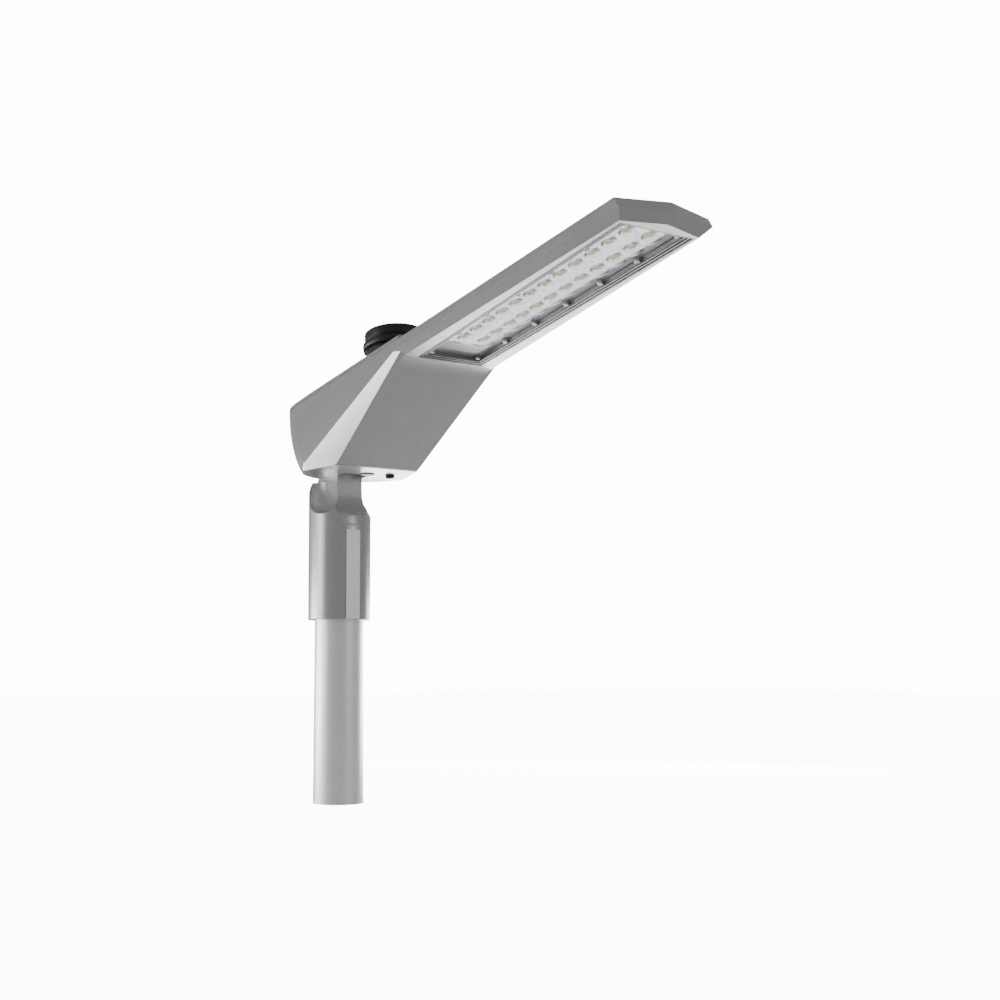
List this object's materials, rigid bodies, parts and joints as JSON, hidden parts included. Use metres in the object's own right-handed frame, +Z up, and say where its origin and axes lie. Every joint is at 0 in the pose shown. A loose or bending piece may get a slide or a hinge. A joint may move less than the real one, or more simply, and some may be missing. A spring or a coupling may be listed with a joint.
{
  "type": "street lamp head on mast adapter",
  "caption": "LED road luminaire with faceted grey housing, twist-lock control cap, tilting mast adapter and mast top.",
  "frame": {"origin": "centre of the mast tube's lower cut", "axes": "+X the way the head points, +Y across the head, +Z up the mast"},
  "size_m": [0.6895, 0.1408, 0.5541],
  "materials": {
    "galvanised": "satin galvanised steel",
    "grey_paint": "satin grey powder coat",
    "frame_grey": "satin dark grey",
    "stainless": "polished stainless steel",
    "nylon": "natural nylon",
    "rubber": "matte black rubber",
    "rubber_grey": "soft grey thermal pad",
    "clear_optic": "clear polished optic",
    "white_board": "white solder mask",
    "led_phosphor": "yellow phosphor",
    "white_plastic": "white moulded plastic",
    "steel_sheet": "zinc-plated sheet",
    "driver_case": "satin aluminium",
    "black_plastic": "matte black moulded plastic",
    "lead_insulation": "silicone lead insulation",
    "brass": "plain brass"
  },
  "bodies": {
    "mast": {"mast_tube": "galvanised"},
    "adapter": {"mast_adapter": "grey_paint", "adapter_set_screws": "stainless", "tilt_bushes": "nylon", "cable_grommet": "rubber"},
    "luminaire": {"housing": "grey_paint", "window_frame": "frame_grey", "frame_screws": "stainless", "optic_plate": "clear_optic", "optic_gasket": "rubber", "led_board": "white_board", "thermal_pad": "rubber_grey", "led_chips": "led_phosphor", "connector_cover": "white_plastic", "board_connector": "white_plastic", "gear_tray": "steel_sheet", "tray_screws": "stainless", "led_driver": "driver_case", "surge_protector": "white_plastic", "terminal_block": "black_plastic", "output_leads": "lead_insulation", "lead_grommet": "rubber", "tilt_bolt": "stainless", "tilt_nut": "stainless", "tilt_washers": "stainless", "cable_gland": "black_plastic", "vent_plug": "black_plastic", "blanking_plug": "black_plastic", "cover_seal": "rubber", "hinge_pins": "stainless"},
    "gear_cover": {"gear_cover": "grey_paint", "socket_gasket": "rubber", "control_socket": "black_plastic", "socket_contacts": "stainless", "socket_nut": "black_plastic"},
    "control_cap": {"cap_seal": "rubber", "shorting_cap": "black_plastic", "cap_blades": "brass"},
    "cover_lock": {"cover_lock": "stainless"}
  },
  "joints": [
    {"name": "swivel", "type": "hinge", "parent": "mast", "child": "adapter", "pos_m": [0, 0, 0.3], "axis": [0, 0, 1], "range_deg": [-180, 180]},
    {"name": "tilt", "type": "hinge", "parent": "adapter", "child": "luminaire", "pos_m": [0.00366, 0, 0.42589], "axis": [0, -1, 0], "range_deg": [-6, 9]},
    {"name": "cover_hinge", "type": "hinge", "parent": "luminaire", "child": "gear_cover", "pos_m": [0.27753, 0, 0.50847], "axis": [0, 1, 0], "range_deg": [0, 75]},
    {"name": "cap_twist", "type": "hinge", "parent": "gear_cover", "child": "control_cap", "pos_m": [0.14768, 0, 0.53655], "axis": [-0.1045, 0, 0.9945], "range_deg": [0, 30]},
    {"name": "lock_turn", "type": "hinge", "parent": "gear_cover", "child": "cover_lock", "pos_m": [-0.02219, 0, 0.48049], "axis": [-0.1045, 0, 0.9945], "range_deg": [0, 90]}
  ]
}
